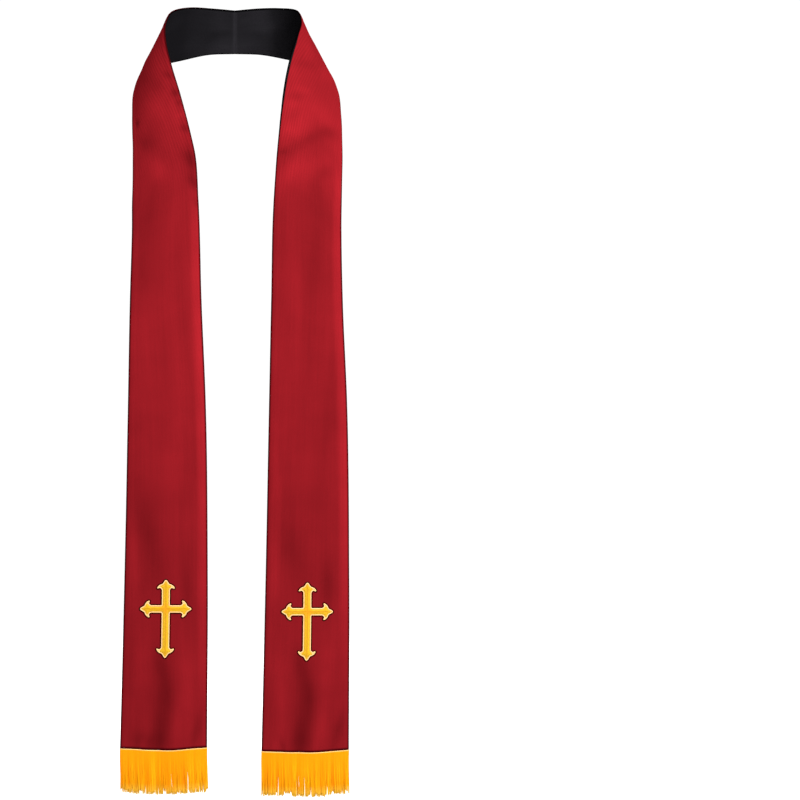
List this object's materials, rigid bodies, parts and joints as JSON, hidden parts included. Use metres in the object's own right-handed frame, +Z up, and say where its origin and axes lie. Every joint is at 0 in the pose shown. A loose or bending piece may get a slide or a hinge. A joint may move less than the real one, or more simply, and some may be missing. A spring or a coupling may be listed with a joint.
{
  "type": "clerical stole",
  "caption": "Reversible clerical stole, red outside and black inside, hanging open round the neck, with a gold cross and a gold fringe at each long end.",
  "frame": {"origin": "on the axis of the wearer's neck, at the height where the cloth lies on the shoulders, 30 mm below the top edge of the neckband at the centre back seam", "axes": "+Z up, the front panels face -Y, the centre back seam is on the +Y side, +X is to the right in the picture, which is the wearer's left"},
  "size_m": [0.3319, 0.2275, 1.1685],
  "materials": {
    "red_satin": "deep red polyester satin with a fine rib and a soft sheen",
    "black_satin": "black polyester satin, matt to soft sheen",
    "gold_fringe": "golden yellow cut fringe of soft rayon threads",
    "gold_stitch": "gold satin-stitch embroidery with a paler corded rim"
  },
  "bodies": {
    "root": {"red_left": "red_satin", "red_right": "red_satin", "black_left": "black_satin", "black_right": "black_satin", "fringe_left": "gold_fringe", "fringe_right": "gold_fringe", "cross_red_left": "gold_stitch", "cross_red_right": "gold_stitch", "cross_black_left": "gold_stitch", "cross_black_right": "gold_stitch"}
  },
  "joints": []
}
